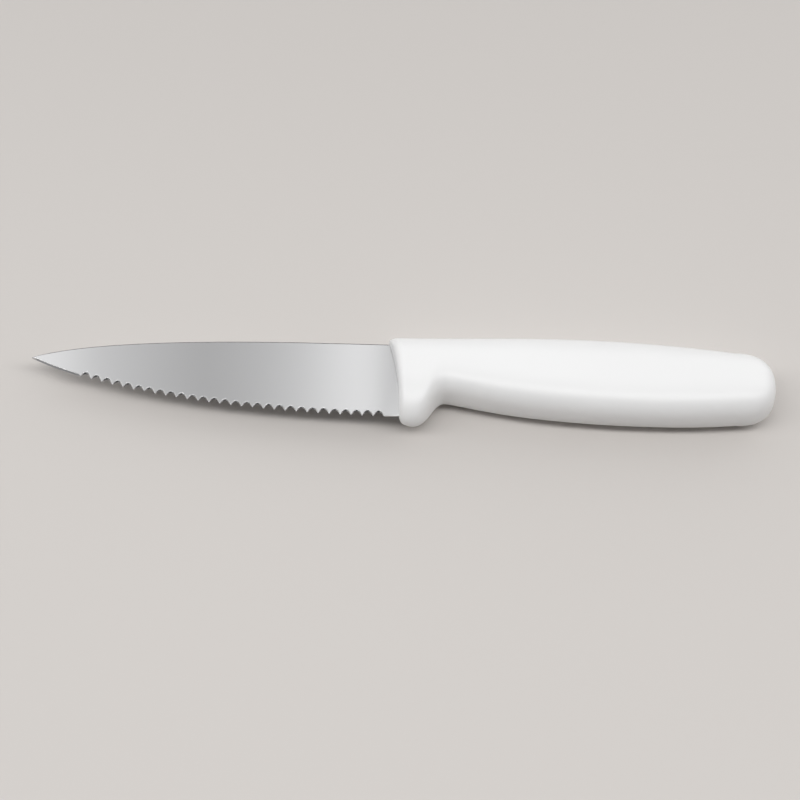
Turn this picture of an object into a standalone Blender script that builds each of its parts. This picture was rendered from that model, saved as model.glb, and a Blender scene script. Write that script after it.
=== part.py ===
"""Serrated paring knife: a stamped, scalloped steel blade held by its tang in a moulded handle.

The knife lies on its side: +X runs to the butt and -X to the tip, +Y to the spine and -Y to the
edge, and +Z points up out of the blade's ground face. Shapes are drawn in metres in the knife's
own frame, with x = 0 and y = 0 where the spine enters the handle and z = 0 in the blade's middle
plane. The empty "knife" then sets the handle down on z = 0 with the whole knife centred above
the origin.
"""

import math

import bmesh
import bpy
import numpy as np

MM = 0.001

# Blade
BLADE_LENGTH = 100.0 * MM         # tip to handle, along the spine
BLADE_HEIGHT = 24.1 * MM          # spine to edge at the heel
SHEET_THICKNESS = 1.3 * MM        # the sheet that the blade is stamped from, left full at the tang
EDGE_THICKNESS = 0.4 * MM         # what the flat grind leaves at the heel's edge
TIP_THICKNESS = 0.6 * MM
TIP_DROP = 7.5 * MM               # how far the tip lies below the spine's straight stretch
SPINE_STRAIGHT = 20.0 * MM        # straight spine in front of the handle
SPINE_TIP_ANGLE = math.radians(23.3)
EDGE_TIP_ANGLE = math.radians(27.7)
SPINE_START_HOLD = 0.225          # share of its curve over which the spine holds its direction
SPINE_TIP_HOLD = 0.2225
EDGE_TIP_HOLD = 0.1934            # the same for the edge, at the tip and at the heel
EDGE_HEEL_HOLD = 0.4816
BEVEL_WIDTH = 0.2 * MM            # the edge is ground from the upper face alone
BEVEL_RUN_IN = 5.0 * MM           # length behind the tip over which the bevel widens

# Scallops, ground into the edge one beside another
SCALLOP_PITCH = 3.03 * MM
SCALLOP_WIDTH = 2.75 * MM
SCALLOP_DEPTH = 1.15 * MM         # at the edge, from the line of the tooth tips
SCALLOP_FLARE = 0.47 * MM         # how much deeper a scallop is on the upper face than at the edge
SCALLOP_POWER = 1.7               # 1 would be a plain notch and 2 a round arch
HEEL_PLAIN = 0.7 * MM             # last scallop to the start of the handle's spine line
TIP_PLAIN = 13.0 * MM             # the least length of plain edge behind the tip

# Tang and the shoulders where the blade steps down to it
GRIND_MARGIN = 0.6 * MM           # the grind runs this far into the handle
GRIND_RUN_OUT = 1.4 * MM          # the slope from the ground face up to the full sheet
SHOULDER_LAND = 1.0 * MM          # full sheet at the blade's full height
SHOULDER_FILLET = 0.8 * MM
TANG_ROOT_FILLET = 1.5 * MM
TANG_SPINE_STEP = 2.7 * MM        # top of the tang below the spine
TANG_NOTCH_COVER = 3.2 * MM       # plastic between the tang and the finger notch
TANG_BUTT_COVER = 30.6 * MM       # plastic behind the tang
TANG_END_HEIGHT = 9.0 * MM
TANG_END_DEPTH = 11.3 * MM        # middle of the tang below the spine, at its end
TANG_END_FILLET = 3.0 * MM
TANG_HOLE_DIAMETER = 5.0 * MM
TANG_HOLE_SPACING = 20.0 * MM     # the least distance between two holes
TANG_HOLE_INSET = 14.0 * MM       # from each end of the tang to the nearest hole
CLEARANCE = 0.3 * MM              # between the steel and the plastic round it

# Handle, seen from above: heights are measured from the spine line
HANDLE_LENGTH = 107.0 * MM
HANDLE_THICKNESS = 15.0 * MM
FLAT_WIDTH = 5.0 * MM             # flat strip along the middle of each side
FRONT_ARC_RADIUS = 79.0 * MM      # hollow of the front face
FRONT_ARC_DEPTH = 23.0 * MM       # the front face runs square to the spine this far below it
FRONT_ROUND = 1.3 * MM            # rounding from the front face to the two sides
FRONT_LIP = 0.3 * MM              # the same at the back and the guard, where it is slight
SPINE_COVER = 0.4 * MM            # plastic above the spine where it enters the handle
HEEL_COVER = 0.2 * MM             # the same below the heel
CREST_X = 47.0 * MM
CREST_HEIGHT = 2.3 * MM
GUARD_REACH = 4.0 * MM            # the guard's lowest point, behind the front face
GUARD_CORNER = 1.4 * MM
NOTCH_REACH = 9.1 * MM            # the finger notch, behind the guard's lowest point
NOTCH_DEPTH = 16.9 * MM
BELLY_TO_END = 33.0 * MM          # the grip's deepest point, ahead of the butt's end
BELLY_DEPTH = 24.0 * MM
GUARD_HOLD = 0.385                # share of the way to the next point that the belly stays level
NOTCH_FRONT_HOLD = 0.396
NOTCH_REAR_HOLD = 0.07
BELLY_FRONT_HOLD = 0.68
EVEN_HOLD = 1 / 3
BUTT_LENGTH = 11.0 * MM
BUTT_TOP_DEPTH = 1.3 * MM         # back and belly where the butt starts to round off
BUTT_TOP_SLOPE = -0.16
BUTT_BELLY_DEPTH = 22.5 * MM
BUTT_BELLY_SLOPE = 0.11
BUTT_CENTRE_DEPTH = 12.5 * MM
BUTT_PLAN_POWER = 2.4             # how square the butt is, seen from above and from the side
BUTT_SIDE_POWER = 3.4
MID_FRONT_DEPTH = 10.6 * MM       # middle of the flat strips at the front and the butt
MID_BUTT_DEPTH = 11.9 * MM
SECTION_POWER = 2.0               # round shoulders beside the flat strips
GUARD_POWER = 1.7                 # the guard's lower half is more pointed than the grip's

# Mesh
CURVE_SAMPLES = 200
EDGE_SEGMENTS = 9
SPINE_SEGMENTS = 14
SCALLOP_SEGMENTS = 8
CORNER_SEGMENTS = 5
HOLE_SEGMENTS = 24
QUARTER_SEGMENTS = 10
FRONT_RINGS = 5
GUARD_RINGS = 3
NOTCH_RINGS = 8
GRIP_RINGS = 10
REAR_RINGS = 9
BUTT_RINGS = 9
SMOOTH_ANGLE = math.radians(30)
FILLET_ROOM = 0.95                # the most of a side that its fillets may take up

STEEL = ("blade_steel", (0.56, 0.56, 0.57, 1.0), 1.0, 0.34)
PLASTIC = ("handle_plastic", (0.86, 0.86, 0.86, 1.0), 0.0, 0.36)


def front_setback():
    """How far behind the spine's entry the front face stands square."""
    return FRONT_ARC_RADIUS - math.sqrt(FRONT_ARC_RADIUS ** 2 - FRONT_ARC_DEPTH ** 2)


def front_x(y):
    """Where the handle's front face crosses height y: a hollow arc that ends square."""
    above = np.maximum(np.asarray(y) + FRONT_ARC_DEPTH, 0.0)
    return front_setback() - FRONT_ARC_RADIUS + np.sqrt(FRONT_ARC_RADIUS ** 2 - above ** 2)


def bezier(start, start_pull, end_pull, end, count):
    """Points along a cubic curve, both ends included, as an array of x and y."""
    t = np.linspace(0.0, 1.0, count + 1)[:, None]
    s = 1.0 - t
    start, start_pull, end_pull, end = map(np.array, (start, start_pull, end_pull, end))
    return s ** 3 * start + 3 * s * s * t * start_pull + 3 * s * t * t * end_pull + t ** 3 * end


def span(knot_a, knot_b):
    """A curve from one knot to the next. A knot is x, y, slope, hold before it, hold after it."""
    ax, ay, a_slope, _, a_hold = knot_a
    bx, by, b_slope, b_hold, _ = knot_b
    a_pull = a_hold * (bx - ax)
    b_pull = b_hold * (bx - ax)
    return bezier((ax, ay), (ax + a_pull, ay + a_slope * a_pull),
                  (bx - b_pull, by - b_slope * b_pull), (bx, by), CURVE_SAMPLES)


def profile(knots):
    """The height of a curve through the knots, as a function of x."""
    points = np.vstack([span(a, b) for a, b in zip(knots, knots[1:])])
    return lambda x: np.interp(x, points[:, 0], points[:, 1])


def polar(point, length, angle):
    return (point[0] + length * math.cos(angle), point[1] + length * math.sin(angle))


# Places that follow from the sizes

TIP = (-BLADE_LENGTH, -TIP_DROP)
GRIND_END = front_setback() + GRIND_MARGIN
SHEET_START = GRIND_END + GRIND_RUN_OUT
SHOULDER_X = SHEET_START + SHOULDER_LAND
TANG_ROOT_TOP = -TANG_SPINE_STEP
TANG_ROOT_BOTTOM = TANG_NOTCH_COVER - NOTCH_DEPTH
TANG_END = HANDLE_LENGTH - TANG_BUTT_COVER
GUARD_X = front_setback() + GUARD_REACH
NOTCH_X = GUARD_X + NOTCH_REACH
BELLY_X = HANDLE_LENGTH - BELLY_TO_END
BUTT_X = HANDLE_LENGTH - BUTT_LENGTH
FRONT_HEIGHT = CLEARANCE + SPINE_COVER + FRONT_LIP
GUARD_DEPTH = BLADE_HEIGHT + CLEARANCE + HEEL_COVER + FRONT_LIP + GUARD_CORNER


# Blade outline

def spine_points():
    """The spine from its straight stretch down to the tip."""
    start = (-SPINE_STRAIGHT, 0.0)
    length = start[0] - TIP[0]
    return bezier(start, (start[0] - SPINE_START_HOLD * length, 0.0),
                  polar(TIP, SPINE_TIP_HOLD * length, SPINE_TIP_ANGLE), TIP, SPINE_SEGMENTS)


def edge_line():
    """The line that the tooth tips stand on, from the tip to the heel, as a function of x."""
    heel = (front_setback(), -BLADE_HEIGHT)
    length = heel[0] - TIP[0]
    points = bezier(TIP, polar(TIP, EDGE_TIP_HOLD * length, -EDGE_TIP_ANGLE),
                    (heel[0] - EDGE_HEEL_HOLD * length, heel[1]), heel, CURVE_SAMPLES)
    return lambda x: np.interp(x, points[:, 0], points[:, 1])


def edge_places():
    """Places from the tip to where the grind ends: x, the tooth line's y, share of a scallop's depth."""
    line = edge_line()
    last = -HEEL_PLAIN
    count = int((last + BLADE_LENGTH - TIP_PLAIN) / SCALLOP_PITCH)
    first = last - count * SCALLOP_PITCH
    half = min(SCALLOP_WIDTH, SCALLOP_PITCH) / 2
    places = [(x, 0.0) for x in np.linspace(TIP[0], first, EDGE_SEGMENTS + 1)]
    for index in range(count):
        middle = first + (index + 0.5) * SCALLOP_PITCH
        if half < SCALLOP_PITCH / 2:
            places.append((middle - half, 0.0))
        for across in np.linspace(-1.0, 1.0, SCALLOP_SEGMENTS + 1)[1:]:
            places.append((middle + half * across, 1.0 - abs(across) ** SCALLOP_POWER))
    return [(x, float(line(x)), share) for x, share in places] + [(GRIND_END, -BLADE_HEIGHT, 0.0)]


def turn_between(before, corner, after):
    """The angle that a path turns at a corner, positive to the left."""
    a = np.subtract(corner, before)
    b = np.subtract(after, corner)
    return math.atan2(a[0] * b[1] - a[1] * b[0], float(a @ b))


def fitting_fillets(path, fillets):
    """Fillets for a path's inner corners, smaller where they would take up a whole side."""
    turns = [turn_between(*path[i:i + 3]) for i in range(len(fillets))]
    tangents = [fillet * math.tan(abs(turn) / 2) for fillet, turn in zip(fillets, turns)]
    tangents = [0.0] + tangents + [0.0]
    shares = []
    for i in range(len(path) - 1):
        room = FILLET_ROOM * math.dist(path[i], path[i + 1])
        shares.append(min(1.0, room / (tangents[i] + tangents[i + 1])))
    return [fillet * min(pair) for fillet, pair in zip(fillets, zip(shares, shares[1:]))]


def shifted(point, toward, distance):
    """A line through two corners, moved outward by a distance: a point on it and its direction."""
    along = np.subtract(toward, point)
    along = along / np.linalg.norm(along)
    return np.add(point, (along[1] * distance, -along[0] * distance)), along


def grown_corner(before, corner, after, fillet, grow):
    """The arc that rounds a corner of a counter-clockwise outline grown by a distance."""
    a, along_a = shifted(before, corner, grow)
    b, along_b = shifted(corner, after, grow)
    turn = turn_between(before, corner, after)
    matrix = np.column_stack((along_a, -along_b))
    meet = a + along_a * np.linalg.solve(matrix, b - a)[0]
    radius = fillet + grow if turn > 0 else fillet - grow
    tangent = radius * math.tan(abs(turn) / 2)
    start = meet - along_a * tangent
    side = math.copysign(1.0, turn)
    centre = start + side * radius * np.array((-along_a[1], along_a[0]))
    arm = start - centre
    points = []
    for angle in np.linspace(0.0, turn, CORNER_SEGMENTS + 1):
        c, s = math.cos(angle), math.sin(angle)
        points.append((centre[0] + c * arm[0] - s * arm[1], centre[1] + s * arm[0] + c * arm[1]))
    return points


def tang_points(grow):
    """Heel shoulder, tang and spine shoulder, counter-clockwise, grown by a distance."""
    path = [
        (SHEET_START, -BLADE_HEIGHT),
        (SHOULDER_X, -BLADE_HEIGHT),
        (SHOULDER_X, TANG_ROOT_BOTTOM),
        (TANG_END, -TANG_END_DEPTH - TANG_END_HEIGHT / 2),
        (TANG_END, -TANG_END_DEPTH + TANG_END_HEIGHT / 2),
        (SHOULDER_X, TANG_ROOT_TOP),
        (SHOULDER_X, 0.0),
        (SHEET_START, 0.0),
    ]
    fillets = [SHOULDER_FILLET, TANG_ROOT_FILLET, TANG_END_FILLET]
    fillets = fitting_fillets(path, fillets + fillets[::-1])
    points = []
    for index, fillet in enumerate(fillets):
        points += grown_corner(*path[index:index + 3], fillet, grow)
    return points


def hole_places():
    """Centres of the tang's holes, evenly spaced along its middle line."""
    first = SHOULDER_X + TANG_HOLE_INSET
    last = TANG_END - TANG_HOLE_INSET
    count = 1 + int((last - first) / TANG_HOLE_SPACING)
    middle = [(TANG_ROOT_TOP + TANG_ROOT_BOTTOM) / 2, -TANG_END_DEPTH]
    return [(x, float(np.interp(x, (SHOULDER_X, TANG_END), middle)))
            for x in np.linspace(first, last, count)]


def half_thickness(x, y):
    """Half the blade's thickness: a flat grind from spine to edge and tip, then the full sheet."""
    sheet = SHEET_THICKNESS / 2
    if x >= SHEET_START:
        return sheet
    across = (sheet - EDGE_THICKNESS / 2) / BLADE_HEIGHT
    along = (sheet - TIP_THICKNESS / 2 - across * TIP_DROP) / BLADE_LENGTH
    return sheet + across * y + along * min(x, GRIND_END)


# Mesh helpers

def new_object(name, mesh, parent):
    mesh.update()
    obj = bpy.data.objects.new(name, mesh)
    bpy.context.scene.collection.objects.link(obj)
    obj.parent = parent
    return obj


def plate(name, lower, upper, grow, parent):
    """A plate between two outlines of as many points, one under each face of the blade."""
    bm = bmesh.new()
    bottom = [bm.verts.new((x, y, -half_thickness(x, y) - grow)) for x, y in lower]
    top = [bm.verts.new((x, y, half_thickness(x, y) + grow)) for x, y in upper]
    count = len(lower)
    for i in range(count):
        j = (i + 1) % count
        bm.faces.new((bottom[i], bottom[j], top[j], top[i]))
    breaks = [i for i, (x, _) in enumerate(lower) if x in (GRIND_END, SHEET_START)]
    grind_low, sheet_low, sheet_high, grind_high = breaks
    for ring in (bottom, top):
        ground = ring[grind_high:] + ring[:grind_low + 1]
        slope = [ring[grind_low], ring[sheet_low], ring[sheet_high], ring[grind_high]]
        tang = ring[sheet_low:sheet_high + 1]
        for face in (ground, slope, tang):
            bm.faces.new(face if ring is top else face[::-1])
    bmesh.ops.recalc_face_normals(bm, faces=bm.faces)
    mesh = bpy.data.meshes.new(name)
    bm.to_mesh(mesh)
    bm.free()
    return new_object(name, mesh, parent)


def post(name, radius, place, parent):
    """An upright cylinder at a place in plan, twice as tall as the handle's slot for the tang."""
    bm = bmesh.new()
    bmesh.ops.create_cone(bm, cap_ends=True, segments=HOLE_SEGMENTS, radius1=radius, radius2=radius,
                          depth=2 * (SHEET_THICKNESS + 2 * CLEARANCE))
    mesh = bpy.data.meshes.new(name)
    bm.to_mesh(mesh)
    bm.free()
    obj = new_object(name, mesh, parent)
    obj.location = (place[0], place[1], 0.0)
    return obj


def cut(body, tool):
    """Take one object out of another and keep it only as a guide."""
    modifier = body.modifiers.new(tool.name, "BOOLEAN")
    modifier.operation = "DIFFERENCE"
    modifier.solver = "EXACT"
    modifier.object = tool
    tool.hide_render = True
    tool.display_type = "WIRE"


def finish_with(obj, recipe):
    """Give an object its material and smooth its rounded faces."""
    name, colour, metallic, roughness = recipe
    material = bpy.data.materials.new(name)
    material.use_nodes = True
    shader = material.node_tree.nodes["Principled BSDF"]
    shader.inputs["Base Color"].default_value = colour
    shader.inputs["Metallic"].default_value = metallic
    shader.inputs["Roughness"].default_value = roughness
    obj.data.materials.append(material)
    obj.data.shade_smooth()
    obj.data.set_sharp_from_angle(angle=SMOOTH_ANGLE)


# Blade

def cutting_edge():
    """The edge's line on the under face, and the bevel's upper rim, which dips deeper into scallops."""
    places = edge_places()
    lower = [(x, y + SCALLOP_DEPTH * share) for x, y, share in places]
    upper = []
    for x, y, share in places:
        run_in = min(1.0, (x + BLADE_LENGTH) / BEVEL_RUN_IN)
        upper.append((x, y + BEVEL_WIDTH * run_in + (SCALLOP_DEPTH + SCALLOP_FLARE) * share))
    return lower, upper


def make_blade(parent):
    """The blade with its tang: scalloped edge, bevel on the upper face, holes for the plastic."""
    rest = [(SHEET_START, -BLADE_HEIGHT)] + tang_points(0.0) + [(SHEET_START, 0.0), (GRIND_END, 0.0)]
    rest += [tuple(point) for point in spine_points()[:-1]]
    lower, upper = (edge + rest for edge in cutting_edge())
    blade = plate("blade", lower, upper, 0.0, parent)
    for index, place in enumerate(hole_places()):
        cut(blade, post(f"tang_hole_{index + 1}", TANG_HOLE_DIAMETER / 2, place, parent))
    finish_with(blade, STEEL)
    return blade


# Handle

def handle_curves():
    """Heights of the handle's back, belly and middle line, as functions of x."""
    back = profile([
        (0.0, FRONT_HEIGHT, 0.0, 0.0, EVEN_HOLD),
        (CREST_X, CREST_HEIGHT, 0.0, EVEN_HOLD, EVEN_HOLD),
        (BUTT_X, -BUTT_TOP_DEPTH, BUTT_TOP_SLOPE, EVEN_HOLD, 0.0),
    ])
    belly = profile([
        (GUARD_X, -GUARD_DEPTH, 0.0, 0.0, GUARD_HOLD),
        (NOTCH_X, -NOTCH_DEPTH, 0.0, NOTCH_FRONT_HOLD, NOTCH_REAR_HOLD),
        (BELLY_X, -BELLY_DEPTH, 0.0, BELLY_FRONT_HOLD, EVEN_HOLD),
        (BUTT_X, -BUTT_BELLY_DEPTH, BUTT_BELLY_SLOPE, EVEN_HOLD, 0.0),
    ])
    middle = profile([
        (0.0, -MID_FRONT_DEPTH, 0.0, 0.0, EVEN_HOLD),
        (BUTT_X, -MID_BUTT_DEPTH, 0.0, EVEN_HOLD, 0.0),
    ])
    return back, belly, middle


def guard_lift(x):
    """The round corner between the front face and the guard's lowest point."""
    ahead = min(max((GUARD_X - x) / GUARD_REACH, 0.0), 1.0)
    return GUARD_CORNER * (1.0 - math.sqrt(1.0 - ahead ** 2))


def quarter(power):
    """A quarter of a squared-off ellipse from (1, 0) to (0, 1), as pairs."""
    angles = np.linspace(0.0, math.pi / 2, QUARTER_SEGMENTS + 1)
    return [(max(math.cos(a), 0.0) ** (2 / power), math.sin(a) ** (2 / power)) for a in angles]


def section(x, top, bottom, middle, half_width, half, belly_power):
    """A ring of the handle at x, from its back over the upper side to its belly and round under."""
    back_reach = top - middle - half_width
    belly_reach = middle - half_width - bottom
    over = [(middle + half_width + back_reach * c, half * s) for c, s in quarter(SECTION_POWER)]
    down = [(middle - half_width - belly_reach * c, half * s) for c, s in quarter(belly_power)]
    side = over + down[::-1]
    ring = side + [(y, -z) for y, z in side[-2:0:-1]]
    return [(x, y, z) for y, z in ring]


def stations():
    """Where the body's rings stand, closest together where its outline turns most."""
    stops = [front_setback() + FRONT_ROUND, GUARD_X, NOTCH_X, CREST_X, BUTT_X]
    counts = [GUARD_RINGS, NOTCH_RINGS, GRIP_RINGS, REAR_RINGS]
    places = stops[:1]
    for a, b, count in zip(stops, stops[1:], counts):
        places += list(np.linspace(a, b, count + 1)[1:])
    return places


def handle_rings():
    """All rings of the handle from its front face to its butt."""
    back, belly, middle = handle_curves()
    setback = front_setback()
    half = HANDLE_THICKNESS / 2
    half_width = FLAT_WIDTH / 2

    def body_ring(x, inset, lip):
        bottom = float(belly(max(x, GUARD_X))) + guard_lift(x)
        toward_grip = min(max((x - setback) / (NOTCH_X - setback), 0.0), 1.0)
        power = GUARD_POWER + (SECTION_POWER - GUARD_POWER) * toward_grip
        ring = section(x, float(back(x)) - lip, bottom + lip, float(middle(x)), half_width,
                       half - inset, power)
        fade = 1.0 - toward_grip ** 2 * (3.0 - 2.0 * toward_grip)
        return [(px + (float(front_x(py)) - setback) * fade, py, pz) for px, py, pz in ring]

    rings = []
    for index in range(FRONT_RINGS):
        angle = math.pi / 2 * index / FRONT_RINGS
        left = 1.0 - math.sin(angle)
        behind = FRONT_ROUND * (1.0 - math.cos(angle))
        rings.append(body_ring(setback + behind, FRONT_ROUND * left, FRONT_LIP * left))
    rings += [body_ring(x, 0.0, 0.0) for x in stations()]
    for index in range(1, BUTT_RINGS):
        angle = math.pi / 2 * index / BUTT_RINGS
        along = math.sin(angle) ** (2 / BUTT_PLAN_POWER)
        plan = math.cos(angle) ** (2 / BUTT_PLAN_POWER)
        side = (1.0 - along ** BUTT_SIDE_POWER) ** (1 / BUTT_SIDE_POWER)
        ring = []
        for _, py, pz in body_ring(BUTT_X, 0.0, 0.0):
            height = (py + BUTT_CENTRE_DEPTH) * plan
            ring.append((BUTT_X + BUTT_LENGTH * along, height - BUTT_CENTRE_DEPTH, pz * side))
        rings.append(ring)
    return rings


def handle_mesh():
    """The handle's outer skin: rings joined by quads, a stepped front face and a butt fan."""
    bm = bmesh.new()
    rings = [[bm.verts.new(point) for point in ring] for ring in handle_rings()]
    count = len(rings[0])
    for ring, following in zip(rings, rings[1:]):
        for i in range(count):
            j = (i + 1) % count
            bm.faces.new((ring[i], ring[j], following[j], following[i]))
    front = rings[0]
    half = count // 2
    for i in range(half):
        corners = [front[i], front[(i + 1) % count], front[(count - i - 1) % count],
                   front[(count - i) % count]]
        bm.faces.new(dict.fromkeys(corners))
    centre = bm.verts.new((HANDLE_LENGTH, -BUTT_CENTRE_DEPTH, 0.0))
    for i in range(count):
        bm.faces.new((rings[-1][i], rings[-1][(i + 1) % count], centre))
    bmesh.ops.recalc_face_normals(bm, faces=bm.faces)
    mesh = bpy.data.meshes.new("handle")
    bm.to_mesh(mesh)
    bm.free()
    return mesh


def make_handle(parent):
    """The moulded handle, hollowed for the tang, with a plug left through each tang hole."""
    handle = new_object("handle", handle_mesh(), parent)
    mouth = -(FRONT_ROUND + CLEARANCE + front_setback())
    low = -BLADE_HEIGHT - CLEARANCE
    outline = [(mouth, low), (GRIND_END, low), (SHEET_START, low)] + tang_points(CLEARANCE)
    outline += [(SHEET_START, CLEARANCE), (GRIND_END, CLEARANCE), (mouth, CLEARANCE)]
    pocket = plate("tang_pocket", outline, outline, CLEARANCE, parent)
    for index, place in enumerate(hole_places()):
        radius = TANG_HOLE_DIAMETER / 2 - CLEARANCE
        cut(pocket, post(f"plug_{index + 1}", radius, place, parent))
    cut(handle, pocket)
    finish_with(handle, PLASTIC)
    return handle


def lowest_and_highest(objects):
    """Corners of the box round the objects' own vertices."""
    points = np.array([vertex.co[:] for obj in objects for vertex in obj.data.vertices])
    return points.min(axis=0), points.max(axis=0)


def main():
    for old in list(bpy.data.objects):
        bpy.data.objects.remove(old, do_unlink=True)
    knife = bpy.data.objects.new("knife", None)
    bpy.context.scene.collection.objects.link(knife)
    blade = make_blade(knife)
    handle = make_handle(knife)
    low, high = lowest_and_highest((blade, handle))
    knife.location = (-(low[0] + high[0]) / 2, -(low[1] + high[1]) / 2, -low[2])


main()
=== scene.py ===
"""Serrated paring knife on a pale floor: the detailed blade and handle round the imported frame.

Shapes are drawn in metres in the knife's own frame, as the source of the frame does: x = 0 and
y = 0 where the spine enters the handle, z = 0 in the blade's middle plane, -X to the tip, +Y to
the spine. PLACE then moves them to where the frame's nodes lie.
"""

import math
import random

import bmesh
import bpy
import numpy as np
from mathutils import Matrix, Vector


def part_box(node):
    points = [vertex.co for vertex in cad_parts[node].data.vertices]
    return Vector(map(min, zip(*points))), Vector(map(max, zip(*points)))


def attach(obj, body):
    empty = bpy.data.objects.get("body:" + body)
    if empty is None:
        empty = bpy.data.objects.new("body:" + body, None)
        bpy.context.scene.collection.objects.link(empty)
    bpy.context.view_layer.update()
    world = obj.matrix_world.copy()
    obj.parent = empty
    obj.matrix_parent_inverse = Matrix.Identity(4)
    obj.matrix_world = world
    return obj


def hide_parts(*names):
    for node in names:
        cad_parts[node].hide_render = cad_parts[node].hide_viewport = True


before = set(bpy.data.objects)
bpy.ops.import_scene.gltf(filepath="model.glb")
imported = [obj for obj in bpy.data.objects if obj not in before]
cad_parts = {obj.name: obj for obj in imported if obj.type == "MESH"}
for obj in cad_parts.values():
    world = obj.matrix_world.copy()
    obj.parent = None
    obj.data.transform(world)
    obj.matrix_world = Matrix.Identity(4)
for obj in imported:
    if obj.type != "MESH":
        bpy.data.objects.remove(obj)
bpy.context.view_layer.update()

MM = 0.001

# Blade
BLADE_LENGTH = 100.0 * MM
BLADE_HEIGHT = 24.1 * MM
SHEET_THICKNESS = 1.3 * MM
EDGE_THICKNESS = 0.4 * MM
TIP_THICKNESS = 0.6 * MM
TIP_DROP = 7.5 * MM
SPINE_STRAIGHT = 20.0 * MM
SPINE_TIP_ANGLE = math.radians(23.3)
EDGE_TIP_ANGLE = math.radians(27.7)
SPINE_START_HOLD = 0.225          # share of its curve over which the spine holds its direction
SPINE_TIP_HOLD = 0.2225
EDGE_TIP_HOLD = 0.1934            # the same for the edge, at the tip and at the heel
EDGE_HEEL_HOLD = 0.4816
BEVEL_WIDTH = 0.2 * MM            # of the cutting edge, in the scallops and at the heel
TOOTH_BEVEL = 0.07 * MM           # the same on the teeth's tips
PLAIN_BEVEL = 0.38 * MM           # the same on the plain edge beside the tip
PLAIN_RUN_IN = 1.5 * MM           # length behind the tip over which that bevel widens
RIM_WIDTH = 0.25 * MM             # buffed rim from the ground face to the bevel and the scallops
RIM_DROP = 0.09 * MM
TOOTH_RIM = 0.07 * MM             # its width on the teeth's tips
PLAIN_RIM = 0.12 * MM             # its width on the plain edge beside the tip
RIM_SPREAD = 0.4                  # share of a scallop's depth at which bevel and rim are full
RIM_LAND = 0.05 * MM              # flat strip beside a rim or slope, which keeps the shading plane
SPINE_ROUND = 0.5 * MM            # rounding along the spine, this wide and SPINE_DROP deep
SPINE_DROP = 0.2 * MM
TIP_ROUND = 0.16 * MM             # the same at the very tip
TIP_ROUND_DROP = 0.08 * MM
SPINE_RUN_IN = 5.0 * MM           # length behind the tip over which that rounding widens
UNDER_BREAK = 0.02 * MM           # the cutting edge is barely blunted on the under face
TANG_BREAK = 0.06 * MM

# Scallops
SCALLOP_PITCH = 3.03 * MM
SCALLOP_WIDTH = 2.75 * MM
SCALLOP_DEPTH = 1.38 * MM         # at the edge, from the line of the tooth tips
SCALLOP_SPREAD = 1.2              # width of a scallop's wall in plan against the steel's thickness
SCALLOP_POWER = 1.9               # 1 would be a plain notch and 2 a round arch
SCALLOP_HOLLOW = 0.05             # how much steeper a scallop's wall is at its rim than at the edge
SCALLOP_STRAY = 0.03 * MM         # how far grinding puts a scallop off its place
SCALLOP_UNEVEN = 0.03             # share by which widths differ; depths lack up to twice that
SCALLOP_SEED = 28
HEEL_PLAIN = 0.7 * MM             # last scallop to the start of the handle's spine line
TIP_PLAIN = 13.0 * MM             # the least length of plain edge behind the tip

# Tang
GRIND_MARGIN = 0.6 * MM           # the grind runs this far into the handle
GRIND_RUN_OUT = 1.4 * MM          # the slope from the ground face up to the full sheet
SHOULDER_LAND = 1.0 * MM          # full sheet at the blade's full height
SHOULDER_FILLET = 0.8 * MM
TANG_ROOT_FILLET = 1.5 * MM
TANG_SPINE_STEP = 2.7 * MM        # top of the tang below the spine
TANG_NOTCH_COVER = 3.2 * MM       # plastic between the tang and the finger notch
TANG_NOTCH_DEPTH = 16.9 * MM      # the solid's finger notch, which the tang is set out from
TANG_BUTT_COVER = 30.6 * MM       # plastic behind the tang
TANG_END_HEIGHT = 9.0 * MM
TANG_END_DEPTH = 11.3 * MM        # middle of the tang below the spine, at its end
TANG_END_FILLET = 3.0 * MM
TANG_HOLE_RADIUS = 2.5 * MM
TANG_HOLES = 3
TANG_HOLE_INSET = 14.0 * MM       # from each end of the tang to the nearest hole
SLOT_GAP = 0.05 * MM              # between the steel and the plastic moulded round it

# Handle
HANDLE_LENGTH = 107.0 * MM
HANDLE_THICKNESS = 15.0 * MM
FLAT_WIDTH = 5.0 * MM             # flat strip along the middle of each side
FRONT_ARC_RADIUS = 79.0 * MM      # hollow of the front face
FRONT_ARC_DEPTH = 23.0 * MM       # the front face runs square to the spine this far below it
FRONT_ROUND_SPINE = 2.1 * MM      # rounding from the front face to the sides, widest at the spine
FRONT_ROUND_GUARD = 1.1 * MM
FRONT_LIP = 0.35 * MM             # the same at the back and the guard, where it is slight
FRONT_POWER = 1.5                 # below 2 the rounding is nearer to a chamfer
FRONT_HEIGHT = 1.0 * MM           # plastic above the spine where it enters the handle
CREST_X = 47.0 * MM
CREST_HEIGHT = 2.3 * MM
GUARD_REACH = 3.4 * MM            # the guard's lowest point, behind the front face
GUARD_CORNER = 2.1 * MM
GUARD_DEPTH = 26.3 * MM
NOTCH_REACH = 9.1 * MM            # the finger notch, behind the guard's lowest point
NOTCH_DEPTH = 17.2 * MM
BELLY_TO_END = 33.0 * MM          # the grip's deepest point, ahead of the butt's end
BELLY_DEPTH = 23.4 * MM
GUARD_HOLD = 0.5                  # share of the way to the next point that the belly stays level
NOTCH_FRONT_HOLD = 0.396
NOTCH_REAR_HOLD = 0.07
BELLY_FRONT_HOLD = 0.68
EVEN_HOLD = 1 / 3
BUTT_LENGTH = 11.0 * MM
BUTT_TOP_DEPTH = 1.3 * MM         # back and belly where the butt starts to round off
BUTT_TOP_SLOPE = -0.16
BUTT_BELLY_DEPTH = 22.2 * MM
BUTT_BELLY_SLOPE = 0.11
BUTT_CENTRE_DEPTH = 12.5 * MM
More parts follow.
